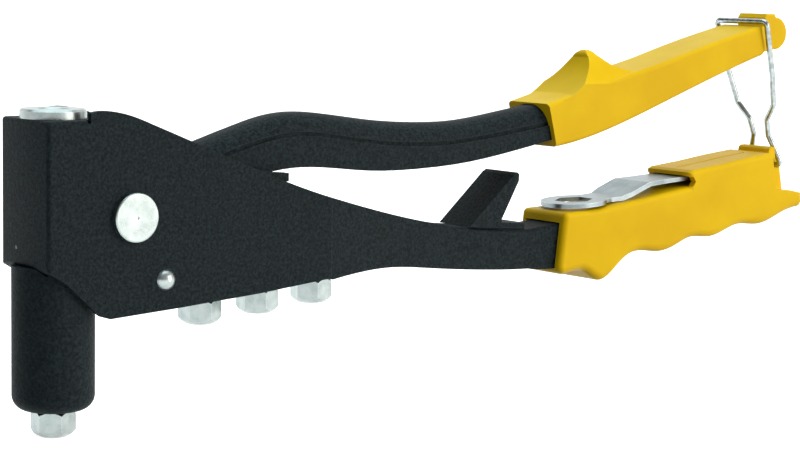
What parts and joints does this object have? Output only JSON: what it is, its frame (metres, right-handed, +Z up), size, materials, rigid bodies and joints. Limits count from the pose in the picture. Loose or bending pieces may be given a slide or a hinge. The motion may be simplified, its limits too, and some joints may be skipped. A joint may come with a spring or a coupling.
{
  "type": "hand riveter",
  "caption": "Two-handled blind-rivet tool with a pressed black head, hexagonal nosepieces, yellow grips, a wire latch and a clip-in nosepiece wrench.",
  "frame": {"origin": "centre of the fitted nosepiece's mouth, on the barrel's axis", "axes": "+Z up the barrel away from the rivet, +X from the head towards the handle ends, Y across the thickness; shown latched shut"},
  "size_m": [0.2672, 0.0271, 0.1023],
  "materials": {
    "black_powder_coat": "fine-grained black powder coat",
    "zinc_plate": "bright zinc-plated steel, satin",
    "bright_wire": "drawn spring wire, zinc-plated",
    "tool_steel": "turned steel, lightly oiled",
    "dark_steel": "blackened sheet steel",
    "yellow_plastic": "moulded yellow plastic, satin"
  },
  "bodies": {
    "frame": {"head_frame": "black_powder_coat", "frame_arm": "black_powder_coat", "barrel": "black_powder_coat", "handle_stop": "black_powder_coat", "grip_lower": "yellow_plastic", "top_cap": "zinc_plate", "nosepiece_fitted": "zinc_plate", "nosepiece_spare_large": "zinc_plate", "nosepiece_spare_medium": "zinc_plate", "nosepiece_spare_small": "zinc_plate", "nosepiece_carrier": "dark_steel", "carrier_rivet": "zinc_plate", "pivot_pin": "zinc_plate", "pivot_clip": "dark_steel", "jaw_spring": "bright_wire"},
    "moving_handle": {"handle_lever": "black_powder_coat", "grip_upper": "yellow_plastic", "pivot_bush": "tool_steel"},
    "jaw_case": {"jaw_case": "tool_steel", "case_trunnions": "tool_steel"},
    "jaw_pusher": {"jaw_pusher": "tool_steel"},
    "jaw_front": {"jaw_front": "tool_steel"},
    "jaw_left": {"jaw_left": "tool_steel"},
    "jaw_right": {"jaw_right": "tool_steel"},
    "latch": {"latch_wire": "bright_wire"},
    "wrench": {"nosepiece_wrench": "zinc_plate"}
  },
  "joints": [
    {"name": "handle_pivot", "type": "hinge", "parent": "frame", "child": "moving_handle", "pos_m": [0.0157, 0, 0.0535], "axis": [0, -1, 0], "range_deg": [-2.65, 26]},
    {"name": "jaw_case_slide", "type": "slide", "parent": "frame", "child": "jaw_case", "axis": [0, 0, 1], "range_m": [-0.00735, 0.0008], "deforming": ["jaw_spring"]},
    {"name": "jaw_release", "type": "slide", "parent": "jaw_case", "child": "jaw_pusher", "axis": [0, 0, 1], "range_m": [0, 0.0015], "stiffness_N_per_m": 300, "springref_m": -0.003},
    {"name": "latch_pivot", "type": "hinge", "parent": "frame", "child": "latch", "pos_m": [0.2512, 0, 0.056], "axis": [0, 1, 0], "range_deg": [0, 110]},
    {"name": "wrench_slide", "type": "slide", "parent": "frame", "child": "wrench", "axis": [-0.9982, 0, -0.0599], "range_m": [0, 0.016]},
    {"name": "jaw_front_slide", "type": "slide", "parent": "jaw_case", "child": "jaw_front", "axis": [-0.1564, 0, 0.9877], "range_m": [0, 0.00153]},
    {"name": "jaw_left_slide", "type": "slide", "parent": "jaw_case", "child": "jaw_left", "axis": [0.0782, -0.1355, 0.9877], "range_m": [0, 0.00153]},
    {"name": "jaw_right_slide", "type": "slide", "parent": "jaw_case", "child": "jaw_right", "axis": [0.0782, 0.1355, 0.9877], "range_m": [0, 0.00153]}
  ],
  "couplings": [
    {"joint": "jaw_case_slide", "follows": "handle_pivot", "m_per_rad": -0.01595},
    {"joint": "jaw_front_slide", "follows": "jaw_release", "ratio": 1.0125},
    {"joint": "jaw_left_slide", "follows": "jaw_release", "ratio": 1.0125},
    {"joint": "jaw_right_slide", "follows": "jaw_release", "ratio": 1.0125}
  ]
}
